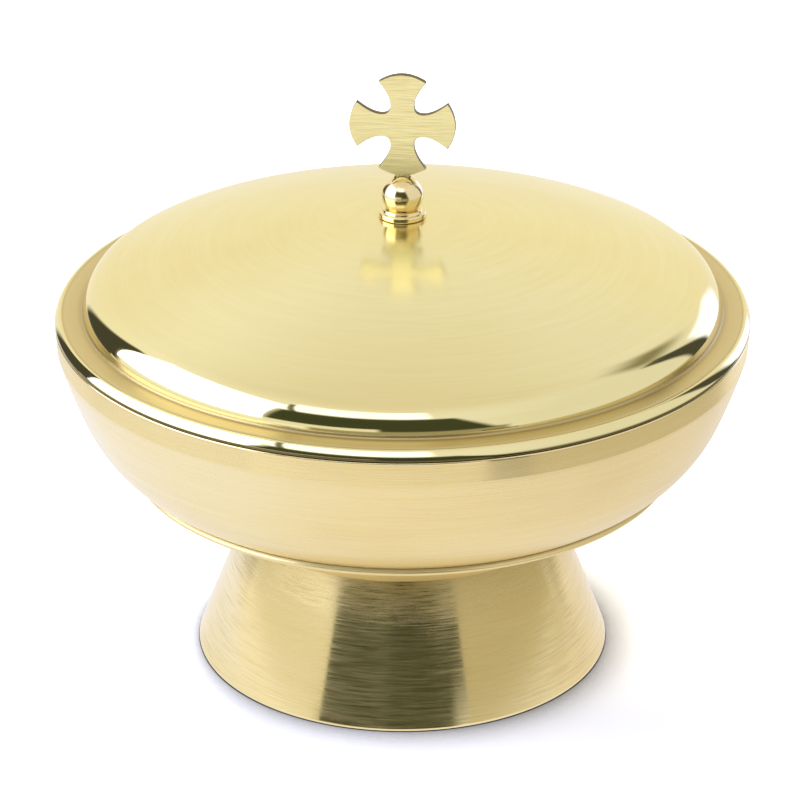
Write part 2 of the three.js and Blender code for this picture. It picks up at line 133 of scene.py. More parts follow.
def bowl_wall(offset, bottom, *marks):
    cone, flank, band = BOWL.cone_angle, BOWL.flank_angle, BOWL.band_angle
    turn = wall_arc(BOWL.turn, turn_radius, turn_top, offset, cone, flank, 40, *marks)
    side = wall_arc(BOWL.flank, band_radius, band_foot, offset, flank, band, 12, *marks)
    return [Station(cone_at(offset, bottom), bottom, *marks)] + turn + side[1:]


def next_centre(centre, size, next_size, angle):
    """Moves a centre along one of its radii, so that the next arc is tangent to the last."""
    step = size - next_size
    return centre[0] + step * cos(angle), centre[1] + step * sin(angle)


def bend(stations, i):
    """The angle by which a profile turns at a station. Its two ends count as corners."""
    if i in (0, len(stations) - 1):
        return pi
    before, here, after = (Vector(station[:2]) for station in stations[i - 1:i + 2])
    if before == here or here == after:
        return pi
    return (here - before).angle(after - here)


def with_supports(stations, hold=0.12, longest=6.0, gentle=radians(4)):
    """Adds stations near both ends of every long straight, so that smooth shading stays flat there."""
    full = []
    for i, (here, there) in enumerate(zip(stations, stations[1:])):
        full.append(here)
        run = hypot(there.radius - here.radius, there.height - here.height)
        marked = here.edge or here.seam or there.edge or there.seam
        corner = bend(stations, i) > gentle or bend(stations, i + 1) > gentle
        if run < 3 * hold or not (marked or corner):
            continue
        cuts = max(1, ceil(run / longest))
        for t in [hold / run] + [i / cuts for i in range(1, cuts)] + [1 - hold / run]:
            between_them = [a + (b - a) * t for a, b in zip(here, there)]
            full.append(Station(*between_them)._replace(edge=0.0, seam=0.0))
    full.append(stations[-1])
    return full


print("helpers for profiles ready")

# %% [markdown]
# ## The lathe, as Geometry Nodes
#
# On the real lathe a flat disc of brass is pressed over a former while it turns. Here the same rule
# is a node tree: a grid has one column for each step round the axis and one row for each station,
# and every grid point takes its station's radius and height at its own angle. The tree also carries
# the four marks onto the surface. Short helpers for single nodes come first. They find the tree
# through the sockets they are given, because every socket knows its own.

# %% Helpers for nodes
def is_socket(value):
    return isinstance(value, bpy.types.NodeSocket)


def give(value, socket):
    """Links a value to a socket when it is a socket itself, and otherwise writes it there."""
    if is_socket(value):
        socket.id_data.links.new(value, socket)
    else:
        socket.default_value = value


def fill(node, inputs):
    for name, value in inputs.items():
        give(value, node.inputs[name])
    return node


def new_node(kind, inputs, tree=None, **settings):
    """A node with its inputs by name or number, in the tree that a socket among them belongs to."""
    tree = tree or next(value.id_data for value in inputs.values() if is_socket(value))
    node = tree.nodes.new(kind)
    for name, value in settings.items():
        setattr(node, name, value)
    return fill(node, inputs)


def math_node(operation, *values):
    return new_node("ShaderNodeMath", dict(enumerate(values)), operation=operation).outputs[0]


plus, minus, over, at_least, at_most = (
    partial(math_node, operation) for operation in ("ADD", "SUBTRACT", "DIVIDE", "MAXIMUM", "MINIMUM"))


def times(first, *others):
    for other in others:
        first = math_node("MULTIPLY", first, other)
    return first


def combined(*parts):
    return new_node("ShaderNodeCombineXYZ", dict(enumerate(parts))).outputs[0]


def split(vector):
    return new_node("ShaderNodeSeparateXYZ", {0: vector}).outputs


print("node helpers ready")

# %% [markdown]
# Two steps are the same in every turned tree. First comes the grid, whose points know their row and
# how many turns round the axis they are. At the end each point goes to its place, and the seam and
# the poles are merged shut, so the piece is one closed skin.

# %% Helpers for turned trees
def new_tree(name, output, *inputs):
    tree = bpy.data.node_groups.new(name, "GeometryNodeTree")
    for title, kind in inputs:
        tree.interface.new_socket(title, in_out="INPUT", socket_type="NodeSocket" + kind)
    tree.interface.new_socket(output, in_out="OUTPUT", socket_type="NodeSocketGeometry")
    return tree, tree.nodes.new("NodeGroupInput").outputs[:len(inputs)]


def then(geometry, kind, inputs=None, **settings):
    """Passes a geometry through a new node and returns what comes out."""
    inputs = {"Geometry": geometry, **(inputs or {})}
    return new_node("GeometryNode" + kind, inputs, **settings).outputs["Geometry"]


def round_grid(tree, around, rows):
    grid = new_node("GeometryNodeMeshGrid", {"Vertices X": plus(around, 1), "Vertices Y": rows})
    index = tree.nodes.new("GeometryNodeInputIndex").outputs[0]
    column = math_node("FLOOR", over(plus(index, 0.5), rows))
    row = minus(index, times(column, rows))
    return grid.outputs["Mesh"], row, over(column, around)


def close_round(tree, mesh, radius, height, turns, finish):
    angle = times(turns, 2 * pi)
    x = times(radius, math_node("COSINE", angle))
    y = times(radius, math_node("SINE", angle))
    placed = then(mesh, "SetPosition", {"Position": combined(x, y, height)})
    closed = then(placed, "MergeByDistance", {"Distance": 1e-6})
    smooth = then(closed, "SetShadeSmooth")
    real = then(smooth, "RealizeInstances")
    dressed = then(real, "SetMaterial", {"Material": finish})
    give(dressed, tree.nodes.new("NodeGroupOutput").inputs[0])
    return tree


print("helpers for turned trees ready")

# %% [markdown]
# The lathe's own part lies between those steps: it reads each row's station from the profile.

# %% Build the lathe tree
def sampled(geometry, index, data_type, value):
    inputs = {"Geometry": geometry, "Value": value, "Index": index}
    node = new_node("GeometryNodeSampleIndex", inputs, data_type=data_type, domain="POINT")
    return node.outputs["Value"]


def lathe_tree():
    tree, (profile, steps, finish) = new_tree(
        "Lathe", "Shell", ("Profile", "Geometry"), ("Steps around", "Int"), ("Finish", "Material"))
    size = new_node("GeometryNodeAttributeDomainSize", {"Geometry": profile})
    mesh, row, turns = round_grid(tree, steps, size.outputs["Point Count"])
    place = tree.nodes.new("GeometryNodeInputPosition").outputs[0]
    radius, _, height = split(sampled(profile, row, "FLOAT_VECTOR", place))
    for mark in MARKS:
        read = new_node("GeometryNodeInputNamedAttribute", {"Name": mark}, tree, data_type="FLOAT")
        value = sampled(profile, row, "FLOAT", read.outputs["Attribute"])
        mesh = then(mesh, "StoreNamedAttribute", {"Name": mark, "Value": value},
                    data_type="FLOAT", domain="POINT")
    return close_round(tree, mesh, radius, height, turns, finish)


lathe = lathe_tree()
print("lathe tree:", len(lathe.nodes), "nodes")

# %% [markdown]
# ## From tree to plain mesh
#
# The modifier is only a tool here. Once the shape is turned, the evaluated result is copied into a
# plain mesh and the modifier goes. A closed shell has a positive volume when its faces look
# outwards, so the volume that is printed also proves that no piece is inside out.

# %% Helpers that finish a piece
def new_mesh(name, points, faces=()):
    mesh = bpy.data.meshes.new(name)
    mesh.from_pydata(points, [], faces)
    return mesh


def add_to_scene(name, data):
    thing = bpy.data.objects.new(name, data)
    bpy.context.scene.collection.objects.link(thing)
    return thing


def apply_modifiers(piece):
    graph = bpy.context.evaluated_depsgraph_get()
    mesh = bpy.data.meshes.new_from_object(piece.evaluated_get(graph), depsgraph=graph)
    piece.modifiers.clear()
    mesh.name = piece.name
    piece.data = mesh
    return piece


def run_tree(piece, tree, values):
    modifier = piece.modifiers.new("Shape", "NODES")
    modifier.node_group = tree
    for name, value in values.items():
        modifier[tree.interface.items_tree[name].identifier] = value
    return apply_modifiers(piece)


def keep_edges(mesh, degrees):
    """Smooth shading everywhere but on edges that turn by more than the given angle."""
    mesh.shade_smooth()
    mesh.set_sharp_from_angle(angle=radians(degrees))


def report(piece):
    measure = bmesh.new()
    measure.from_mesh(piece.data)
    volume = measure.calc_volume(signed=True)
    open_edges = sum(1 for edge in measure.edges if not edge.is_manifold)
    measure.free()
    size = [round(1000 * v, 2) for v in piece.dimensions]
    print(piece.name, "mm", size, "faces", len(piece.data.polygons), "open edges", open_edges,
          "volume cm3", round(1e6 * volume, 3))


def turn(name, stations, finish, kind="shell"):
    points = with_supports([Station(*station) for station in stations])
    mesh = new_mesh(name, [(point.radius * MM, 0, point.height * MM) for point in points])
    for mark in MARKS:
        layer = mesh.attributes.new(mark, "FLOAT", "POINT")
        layer.data.foreach_set("value", [getattr(point, mark) for point in points])
    return run_tree(add_to_scene(name, mesh), lathe, {"Steps around": AROUND[kind], "Finish": finish})


def take_place(piece, body, slot, *nodes):
    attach(piece, body)
    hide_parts(*nodes)
    report(piece)


print("helpers ready")

# %% [markdown]
# ## Gold that was brushed and polished on the lathe
#
# The plate is real metal, so it is a metallic surface with a gold tint. What makes it satin is a
# mass of tiny grooves that run round the axis. They blur a reflection across the grooves and leave
# it sharp along them, which is why the dark stripe on the foot has crisp sides. The grooves are a
# four-dimensional noise: it changes quickly with radius and height and slowly round the axis. The
# angle enters as its cosine and sine, so the pattern has no seam.

# %% Helpers for finishes
def blank_material(name):
    material = bpy.data.materials.new(name)
    material.use_nodes = True
    tree = material.node_tree
    shader = tree.nodes["Principled BSDF"]
    return material, tree, shader


def between(value, low, high, to_low=0.0, to_high=1.0, smooth=True):
    inputs = {"Value": value, "From Min": low, "From Max": high, "To Min": to_low, "To Max": to_high}
    step = "SMOOTHSTEP" if smooth else "LINEAR"
    return new_node("ShaderNodeMapRange", inputs, interpolation_type=step).outputs["Result"]


def noise(vector, scale, detail=2.0, rough=0.5, **fourth):
    inputs = {"Vector": vector, "Scale": scale, "Detail": detail, "Roughness": rough, **fourth}
    axes = "4D" if fourth else "3D"
    return new_node("ShaderNodeTexNoise", inputs, noise_dimensions=axes).outputs["Fac"]


def mixed(factor, a, b):
    return new_node("ShaderNodeMix", {"Factor": factor, 6: a, 7: b}, data_type="RGBA").outputs[2]


def bumped(height, strength, distance, **normal):
    inputs = {"Height": height, "Strength": strength, "Distance": distance, **normal}
    return new_node("ShaderNodeBump", inputs).outputs["Normal"]


def object_place(tree):
    return tree.nodes.new("ShaderNodeTexCoord").outputs["Object"]


def from_axis(x, y):
    return math_node("SQRT", plus(times(x, x), times(y, y)))


def layered(colour, *layers):
    """Lays tints over a colour, each by a pattern: where it starts, where it is full, and how much."""
    for pattern, start, full, most, tint in layers:
        colour = mixed(between(pattern, start, full, 0.0, most), colour, tint)
    return colour


def dress_metal(shader, colour, roughness, normal, direction, one_way):
    """Makes the shader a metal whose grooves run in the given direction."""
    fill(shader, {"Base Color": colour, "Roughness": roughness, "Normal": normal, "Tangent": direction,
                  "Metallic": 1.0, "Anisotropic": one_way, "Anisotropic Rotation": 0.25})


print("finish helpers ready")

# %% [markdown]
# The same recipe makes every turned finish. It takes how rough the satin is, how fine and deep the
# grooves are, and how strongly they all run one way. The marks then change it from place to place:
# edges shine, dull stretches are rougher and take a deeper tone that is painted shade, painted dark
# lines go nearly black as a painted shadow and dark reflection, and a mirror polish takes most of the
# grooves away. A soft cloudy noise stands for the uneven pressure of the cloth.

# %% The turned gold recipe
GOLD = (0.87, 0.71, 0.355, 1)
GOLD_PALE = (0.91, 0.77, 0.435, 1)
GOLD_DEEP = (0.81, 0.64, 0.29, 1)
# The next colour is the tone of the fine grooves and also the painted shade of dull stretches; the one after
# it is near black for painted dark lines, a painted shadow and dark reflection.
GOLD_DULL_AND_SHADE = (0.61, 0.475, 0.20, 1)
PAINTED_LINE_DARK = (0.08, 0.065, 0.025, 1)
TINTS = (GOLD, GOLD_DEEP, GOLD_PALE)
LEMON = ((0.855, 0.745, 0.365, 1), (0.80, 0.675, 0.30, 1), (0.89, 0.79, 0.44, 1))


def lathe_coordinates(tree):
    """Radius, height, the angle's cosine and sine, and the direction round the axis."""
    x, y, height = split(object_place(tree))
    radius = plus(from_axis(x, y), 1e-6)
    cosine, sine = over(x, radius), over(y, radius)
    return radius, height, cosine, sine, combined(times(sine, -1), cosine)


def grooves(turned, spacing, streaks, detail):
    """Noise that changes over `spacing` metres across the grooves and `streaks` times round them."""
    radius, height, cosine, sine = turned
    vector = combined(times(cosine, streaks), times(sine, streaks), over(height, spacing))
    return noise(vector, 1.0, detail, 0.6, W=over(radius, spacing))


def turned_gold(name, rough, groove_depth, one_way, spacing=0.00022, scratch=0.12, mirror=0.3,
                tints=TINTS, tone=0.05):
    material, tree, shader = blank_material(name)
    *turned, round_axis = lathe_coordinates(tree)
    fine = grooves(turned, spacing, 5.0, 3.0)
    broad = grooves(turned, spacing * 7, 1.6, 2.0)
    clouds = noise(object_place(tree), 28.0, 3.0)
    edge, dull, seam, polish = (
        new_node("ShaderNodeAttribute", {}, tree, attribute_name=mark).outputs["Fac"] for mark in MARKS)
    worn = times(edge, between(clouds, 0.3, 0.6, 0.5, 1.0))

    base, deep, pale = tints
    colour = layered(base, (clouds, 0.42, 0.75, 0.35, deep), (broad, 0.35, 0.75, 0.35, pale),
                     (fine, 0.42, 0.68, tone, GOLD_DULL_AND_SHADE))
    colour = mixed(times(worn, 0.8), colour, pale)
    # Painted shade: dull stretches take the darker gold, and painted dark lines go nearly black as a painted
    # shadow and dark reflection.
    colour = mixed(dull, colour, GOLD_DULL_AND_SHADE)
    colour = mixed(times(seam, 0.9), colour, PAINTED_LINE_DARK)

    shine = between(polish, 0, 1, 1.0, mirror, smooth=False)
    smoothest, roughest = rough * (1 - scratch), rough * (1 + 1.6 * scratch)
    roughness = times(between(fine, 0.3, 0.72, smoothest, roughest, smooth=False),
                      between(clouds, 0.3, 0.7, 0.95, 1.05), between(worn, 0, 1, 1.0, 0.5, smooth=False),
                      between(dull, 0, 1, 1.0, 2.2, smooth=False), shine)
    roughness = plus(roughness, times(seam, 0.1))

    normal = bumped(times(fine, shine), 0.6, groove_depth)
    normal = bumped(times(broad, shine), 0.25, groove_depth * 1.5, Normal=normal)
    dress_metal(shader, colour, roughness, normal, round_axis, one_way)
    return material


BRASS = ((0.62, 0.45, 0.20, 1), (0.50, 0.34, 0.14, 1), (0.74, 0.58, 0.30, 1))
satin_lid = turned_gold("satin_lid_gold", 0.17, 0.000003, 0.65, scratch=0.06, tints=LEMON)
satin_bowl = turned_gold("satin_bowl_gold", 0.25, 0.000005, 0.8)
satin_foot = turned_gold("satin_foot_gold", 0.155, 0.000007, 0.7, spacing=0.0003, scratch=0.4, tone=0.35)
mirror_gold = turned_gold("mirror_gold", 0.07, 0.0000008, 0.2)
buffed_gold = turned_gold("buffed_gold", 0.15, 0.000001, 0.0)
satin_saucer = turned_gold("satin_saucer_gold", 0.34, 0.000002, 0.4)
turned_brass = turned_gold("turned_brass", 0.38, 0.000008, 0.6, tints=BRASS)
print("turned finishes ready")

# %% [markdown]
# ## The foot
#
# The foot is a spun cone. Its lower edge is turned in, so that it stands on a flat hem, and its top
# is a plate that the saucer and the bowl sit on. The profile goes once round the wall of the metal.

# %% Turn the foot
def foot_stations():
    size = FOOT
    height, edge, wall, soft = size.height, size.edge, size.wall, size.soft
    run = (size.base - size.top) / height
    lean = atan(1 / run)
    out = pi / 2 - lean
    across, edge_run = wall / sin(lean), edge / sin(lean)
    flank = lambda z: size.base - run * z
    hem = flank(wall) - across - size.hem
    high, under, shade_start = height - edge, height - wall, height - size.dull
    top_turn, hem_turn = size.top_turn, size.hem_turn
    hem_turn_top = wall + hem_turn
    return (
        [(hem, soft, 0.5, 1.0), (hem + soft, 0.0, 0.5, 0.0)]
        + arc(flank(edge) - edge_run, edge, edge, -pi / 2, out, 8, 1.0)
        # Painted shade: above this station the foot darkens towards its top, under the bowl, and its inside
        # is darkened too.
        + [(flank(shade_start), shade_start)]
        + arc(flank(high) - edge_run, high, edge, out, pi / 2, 8, 0.6, 1.0)
        + [(foot_hole, height, 0.0, 0.0), (foot_hole, under, 0.0, 1.0)]
        + arc(flank(under) - across - top_turn, under - top_turn, top_turn, pi / 2, out, 6, 0.0, 1.0)
        + arc(flank(hem_turn_top) - across - hem_turn / 2, hem_turn_top, hem_turn, out - 0.25,
              -pi / 2, 6, 0.0, 1.0)
        + [(hem, wall, 0.5, 1.0), (hem, soft, 0.5, 1.0)]
    )


take_place(turn("foot_cone", foot_stations(), satin_foot), "vessel", "satin_gold", "foot_shell")

# %% [markdown]
# ## The saucer
#
# A thin dish lies between foot and bowl. Its edge is rolled into a fine bead, and little more than the
# bead shows, as a soft crescent under the bowl. A narrow ledge runs from the bead's back towards the
# bowl and stops a hair's breadth from it, so no wide dark gap is left there.

# %% Turn the saucer
def saucer_stations():
    slant = BOWL.cone_angle
    outside = SAUCER.gap + SAUCER.wall
    bead, off_bowl = SAUCER.bead, SAUCER.gap + SAUCER.bead
    bead_radius = cone_radius + off_bowl * cos(slant)
    bead_height = cone_top - off_bowl * sin(slant)
    start = -slant - acos((outside - off_bowl) / bead)
    low, soft = FOOT.height, SAUCER.turn
    foot_of = cone_at(outside, low)
    ledge = bead + SAUCER.gap / 2
    return (
        # Painted shade: the saucer's underside and the ledge by the bowl are darkened.
        [Station(foot_hole, low, dull=1.0), Station(foot_of - soft, low, dull=0.4),
         Station(foot_of - soft * 0.35, low + 0.03), Station(foot_of + soft * 0.15, low + 0.14),
         Station(foot_of + soft * 0.7, low + 0.7 * soft / tan(slant))]
        + arc(bead_radius, bead_height, bead, start, pi / 2 - slant, 24)
        + [Station(bead_radius - ledge * cos(slant) + bead * sin(slant),
                   bead_height + ledge * sin(slant) + bead * cos(slant), dull=0.8),
           Station(cone_at(SAUCER.gap, bowl_bottom), bowl_bottom, dull=1.0),
           Station(foot_hole, bowl_bottom, dull=1.0), Station(foot_hole, low, dull=1.0)]
    )


take_place(turn("saucer_dish", saucer_stations(), satin_saucer), "vessel", "polished_gold", "foot_saucer")

# %% [markdown]
# ## The bowl
#
# The bowl rises from a flat bottom as a cone, turns up in a tight arc and goes on in a long flank. It
# ends in a nearly upright band, whose foot shows as a faint line. The rim is rounded under the lid.

# %% Turn the bowl
def bowl_stations():
    floor = bowl_bottom + BOWL.wall
    outer = bowl_wall(0, bowl_bottom)
    # Painted shade: the inside of the bowl, under the lid, is darkened.
    inner = bowl_wall(-BOWL.wall, floor, 0.0, 0.5)
    edge = BOWL.edge
    high = bowl_rim - edge
    mouth = BOWL.radius - BOWL.wall
    return (
        [Station(0.0, bowl_bottom)] + outer[:-1] + [outer[-1]._replace(edge=0.5, dull=0.1)]
        + [Station(BOWL.radius - 0.01, high - 0.3, dull=0.1)]
        + arc(BOWL.radius - edge, high, edge, 0, pi / 2, 6, 1.0)
        + arc(mouth + edge, high, edge, pi / 2, pi, 6, 1.0)
        + list(reversed(inner)) + [Station(0.0, floor, dull=0.5)]
    )


take_place(turn("bowl", bowl_stations(), satin_bowl), "vessel", "satin_gold", "bowl_shell")

# %% [markdown]
# ## The lid
#
# The lid is one spun sheet: a shallow satin dome, a steep mirror-polished shoulder, a flat flange and
# a folded hem. The hem's outside is a rounded lip, a sloping face and a small crest, each an arc that
# is tangent to the last, and a fine groove parts it from the flange. Painted shade darkens the flange,
# that groove and the corner at the shoulder's foot, with a faint painted dark line in the groove and
# the corner. The hem's lowest lip is painted nearly black, a painted shadow of the gap under the lid
# and a painted dark reflection.

# %% Turn the lid
# The groove's stations darken it with painted shade and a faint painted dark line.
HEM_GROOVE = (
    # inwards from the crest, depth, dull and painted shade, painted dark line
    (0.2, 0.0, 0.0, 0.0), (0.42, 0.1, 0.4, 0.1), (0.6, 0.2, 0.8, 0.18), (0.8, 0.12, 0.8, 0.1),
    (1.05, 0.0, 0.8, 0.0),
)


def with_polish(stations, start, end):
    """The mirror polish comes in over a stretch of radius."""
    return [station._replace(polish=min(1.0, max(0.0, (station.radius - start) / (end - start))))
            for station in stations]


def hem_stations():
    lip = (lid_radius - HEM.lip, lid_seat + HEM.edge)
    slope = next_centre(lip, HEM.lip, HEM.slope, HEM.lip_angle)
    crest = next_centre(slope, HEM.slope, HEM.crest, HEM.crest_angle)
    bright = (0.0, 0.0, 0.0, 1.0)
    groove = [Station(crest[0] - step, flange_top - deep, 0.0, *marks) for step, deep, *marks in HEM_GROOVE]
    rounded = arc(lip[0], lip[1], HEM.lip, 0, HEM.lip_angle, 10, *bright)
    # Painted shadow: the hem's lowest lip goes nearly black, for the gap under the lid and the dark
    # reflection there.
    lip_with_painted_shadow = [station._replace(seam=min(1.0, max(0.0, 1.8 - i / 4))) for i, station in enumerate(rounded)]
    return (
        [Station(lid_radius - HEM.edge, lid_seat, seam=1.0)]
        + lip_with_painted_shadow
        + arc(slope[0], slope[1], HEM.slope, HEM.lip_angle, HEM.crest_angle, 6, *bright)[1:]
        + arc(crest[0], crest[1], HEM.crest, HEM.crest_angle, pi / 2, 8, *bright)[1:]
        + groove
    )


def lid_stations():
    size = LID
    under = flange_top - size.wall
    foot_angle = asin(size.fillet / size.shoulder)
    outer_dome = arc(0, dome_centre, size.dome, dome_start, acos(finial_hole / size.dome), 72)[1:]
    return (
        # Painted shade: the lid's underside is darkened.
        arc(0, dome_centre, inner_dome, acos(finial_hole / inner_dome), dome_start, 60, 0.0, 0.6)
        + arc(shoulder_centre, flange_top, size.shoulder - size.wall, dome_start, 0, 24, 0.0, 0.6)[1:]
        + [Station(dome_foot - size.wall, under, dull=0.6), Station(hem_inner, under, dull=0.6),
           Station(hem_inner, lid_seat, dull=0.6)]
        + hem_stations()
        # Painted shade: the flange and the fillet at the shoulder's foot are darkened, with a painted dark
        # line growing into the corner.
        + [Station(dome_foot + size.fillet + step, flange_top, dull=0.9, seam=seam)
           for step, seam in ((1.2, 0.0), (0.9, 0.03), (0.6, 0.08), (0.3, 0.15))]
        + arc(dome_foot + size.fillet, flange_top + size.fillet, size.fillet, -pi / 2, -pi, 8, 0.0, 0.9, 0.2)
        + arc(shoulder_centre, flange_top, size.shoulder, foot_angle, dome_start, 32, 0, 0, 0, 1.0)[1:]
        + with_polish(outer_dome, size.satin_to, size.mirror_from)
        + [Station(finial_hole, dome_centre + sqrt(inner_dome ** 2 - finial_hole ** 2), dull=0.6)]
    )


take_place(turn("lid_dome", lid_stations(), satin_lid), "lid", "satin_gold", "lid_shell")

# %% [markdown]
# The ring under the flange keeps the lid centred. It is a plain hoop with a chamfer that leads it
# into the bowl's mouth.

# %% Turn the locating ring
def ring_stations():
    inside_mouth = BOWL.radius - BOWL.wall - RING.play
    inside_hem = hem_inner - RING.to_hem
    outer = min(inside_mouth, inside_hem)
    inner = outer - RING.wall
    top = flange_top - LID.wall
    low = top - RING.depth
    soft = 0.2
    return (
        # Painted shade: the ring's inside is darkened.
        [(inner, low + soft, 1.0, 1.0), (inner + soft, low, 1.0, 0.0),
         (outer - RING.chamfer, low, 1.0, 0.0), (outer, low + RING.chamfer, 1.0, 0.0),
         (outer, top, 0.0, 0.0), (inner, top, 0.0, 1.0), (inner, low + soft, 1.0, 1.0)]
    )


take_place(turn("locating_ring", ring_stations(), mirror_gold), "lid", "polished_gold", "lid_locating_ring")

# %% [markdown]
# ## Collar and ball
#
# Both are turned from the solid and polished bright. The collar is a disc with a narrower step. The
# ball has a flat seat, a blind hole for the stud and a slot on top for the cross's tang. The slot
# is cut with a Boolean, the simplest way to put a square hole into a round surface.

# %% Turn the collar and the ball
COLLAR = Sizes(radius=5.65, disc=1.3, step_radius=4.65, step=0.7, edge=0.3, corner=0.06)
BALL = Sizes(radius=4.9, seat=3.7, web=1.0)
TANG = Sizes(width=3.2, thickness=1.2, length=2.8, root=1.0, gap=0.15, play=0.3)

ball_seat = dome_top + COLLAR.disc + COLLAR.step
ball_centre = ball_seat + sqrt(BALL.radius ** 2 - BALL.seat ** 2)
cross_foot = ball_centre + BALL.radius + TANG.gap
mortise_floor = cross_foot - TANG.length - TANG.play


def collar_stations():
    edge, top = COLLAR.edge, dome_top + COLLAR.disc
    quarter = pi / 2
    disc, step = COLLAR.radius - edge, COLLAR.step_radius - edge
    return (
        # Painted shade: the collar's bore is darkened.
        [(finial_hole, dome_top, 0.0, 1.0)]
        + arc(disc, dome_top + edge, edge, -quarter, 0, 5, 0.6)
        + arc(disc, top - edge, edge, 0, quarter, 5, 0.6)
        + [(COLLAR.step_radius + COLLAR.corner, top, 0.0, 0.0),
           (COLLAR.step_radius, top + COLLAR.corner, 0.0, 0.0)]
        + arc(step, ball_seat - edge, edge, 0, quarter, 5, 0.6)
        + [(finial_hole, ball_seat, 0.0, 1.0), (finial_hole, dome_top, 0.0, 1.0)]
    )


def ball_stations():
    drill_top = mortise_floor - BALL.web
    seat_angle = -acos(BALL.seat / BALL.radius)
    outside = arc(0, ball_centre, BALL.radius, seat_angle, pi / 2, 72)
    return (
        # Painted shade: the ball's bore is darkened.
        [(0.0, drill_top, 0.0, 1.0), (finial_hole, drill_top, 0.0, 1.0), (finial_hole, ball_seat, 0.0, 1.0)]
        + outside[:-1] + [(0.0, ball_centre + BALL.radius, 0.0, 0.0)]
    )


def mesh_of(name, shape):
    mesh = bpy.data.meshes.new(name)
    shape.to_mesh(mesh)
    shape.free()
    return mesh


def block(name, width, depth, low, high):
    shape = bmesh.new()
    bmesh.ops.create_cube(shape, size=1.0)
    stretch = Matrix.Diagonal((width * MM, depth * MM, (high - low) * MM, 1))
    lift = Matrix.Translation((0, 0, (low + high) / 2 * MM))
    bmesh.ops.transform(shape, matrix=lift @ stretch, verts=shape.verts)
    return add_to_scene(name, mesh_of(name, shape))


take_place(turn("collar", collar_stations(), buffed_gold, "finial"), "lid", "polished_gold", "finial_collar")

ball = turn("ball", ball_stations(), buffed_gold, "finial")
cutter = block("slot_cutter", TANG.width + 2 * TANG.play, TANG.thickness + 2 * TANG.play,
               mortise_floor, cross_foot + 1)
cut = ball.modifiers.new("Slot", "BOOLEAN")
cut.operation = "DIFFERENCE"
cut.solver = "EXACT"
cut.object = cutter
apply_modifiers(ball)
bpy.data.objects.remove(cutter)
ball.data.set_sharp_from_angle(angle=radians(35))
take_place(ball, "lid", "polished_gold", "finial_ball")

# %% [markdown]
# ## The cross
#
# The cross is sawn from flat plate and brushed sideways. Its outline is eight straight-to-flared
# sides and four bowed ends, drawn as quadratic curves. The plate gets a small rounded bevel along
# every edge, and the bevel and the plate's sides are painted nearly black, a painted shade and dark
# reflection along every edge.

# %% Draw and raise the cross
CROSS = Sizes(reach=10.6, bulge=1.85, tip=5.6, waist=2.8, waist_reach=4.85, flare=7.2, plate=1.5, bevel=0.15)
cross_centre = cross_foot + CROSS.reach + CROSS.bulge


def quadratic(start, control, end, steps):
    points = []
    for i in range(1, steps + 1):
        t = i / steps
        points.append(tuple((1 - t) ** 2 * a + 2 * t * (1 - t) * b + t * t * c
                            for a, b, c in zip(start, control, end)))
    return points


def cross_outline(steps=18):
    waist, tip, reach = CROSS.waist, CROSS.tip, CROSS.reach
    here = (CROSS.waist_reach, waist)
    outline = []
    for quarter in range(4):
        angle = quarter * pi / 2
        cosine, sine = round(cos(angle)), round(sin(angle))
        put = lambda side, out: (side * cosine - out * sine, side * sine + out * cosine)
        legs = (
            (put(waist, waist), put(waist, CROSS.waist_reach)),
            (put(waist, CROSS.flare), put(tip, reach)),
            (put(0, reach + 2 * CROSS.bulge), put(-tip, reach)),
            (put(-waist, CROSS.flare), put(-waist, CROSS.waist_reach)),
        )
        for control, end in legs:
            outline += quadratic(here, control, end, steps)
            here = end
    return outline


def raise_cross(outline):
    shape = bmesh.new()
    back = CROSS.plate / 2 * MM
    lower = [shape.verts.new((x * MM, -back, (y + cross_centre) * MM)) for x, y in outline]
    front = shape.faces.new(lower)
    pushed = bmesh.ops.extrude_face_region(shape, geom=[front])
    moved = [item for item in pushed["geom"] if isinstance(item, bmesh.types.BMVert)]
    bmesh.ops.translate(shape, verts=moved, vec=(0, 2 * back, 0))
    bmesh.ops.recalc_face_normals(shape, faces=shape.faces)
    piece = add_to_scene("cross", mesh_of("cross", shape))
    bevel = piece.modifiers.new("Filed edge", "BEVEL")
    bevel.width = CROSS.bevel * MM
    bevel.segments = 3
    bevel.limit_method = "ANGLE"
    bevel.angle_limit = radians(60)
    return apply_modifiers(piece)


cross = raise_cross(cross_outline())
print("cross:", len(cross.data.vertices), "points after the bevel")

# %% [markdown]
# The tang is the tongue below the lower arm that stands in the ball's slot. It is joined to the
# plate as one piece of metal. The brushing runs along X, so the noise is stretched that way.

# %% Join the tang and brush the face
def stretched(tree, scale):
    return new_node("ShaderNodeMapping", {"Vector": object_place(tree), "Scale": scale}).outputs[0]


def sideways_gold(name, tints, rough):
    material, tree, shader = blank_material(name)
    hair = noise(stretched(tree, (140, 900, 4200)), 1.0, 3.0, 0.65)
    broad = noise(stretched(tree, (60, 300, 1100)), 1.0, 2.0)
    clouds = noise(object_place(tree), 110.0, 2.0)
    base, deep, pale = tints
    colour = layered(base, (clouds, 0.4, 0.75, 0.5, deep), (broad, 0.4, 0.75, 0.5, pale),
                     (hair, 0.45, 0.7, 0.2, GOLD_DULL_AND_SHADE))
    roughness = between(hair, 0.25, 0.75, rough * 0.8, rough * 1.3, smooth=False)
    normal = bumped(broad, 0.4, 0.00002, Normal=bumped(hair, 0.6, 0.000011))
    sideways = new_node("ShaderNodeCombineXYZ", {0: 1.0}, tree).outputs[0]
    dress_metal(shader, colour, roughness, normal, sideways, 0.6)
    return material


def joined(name, *pieces):
    whole = bmesh.new()
    for piece in pieces:
        whole.from_mesh(piece.data)
    for piece in pieces[1:]:
        bpy.data.objects.remove(piece)
    pieces[0].data = mesh_of(name, whole)
    return pieces[0]


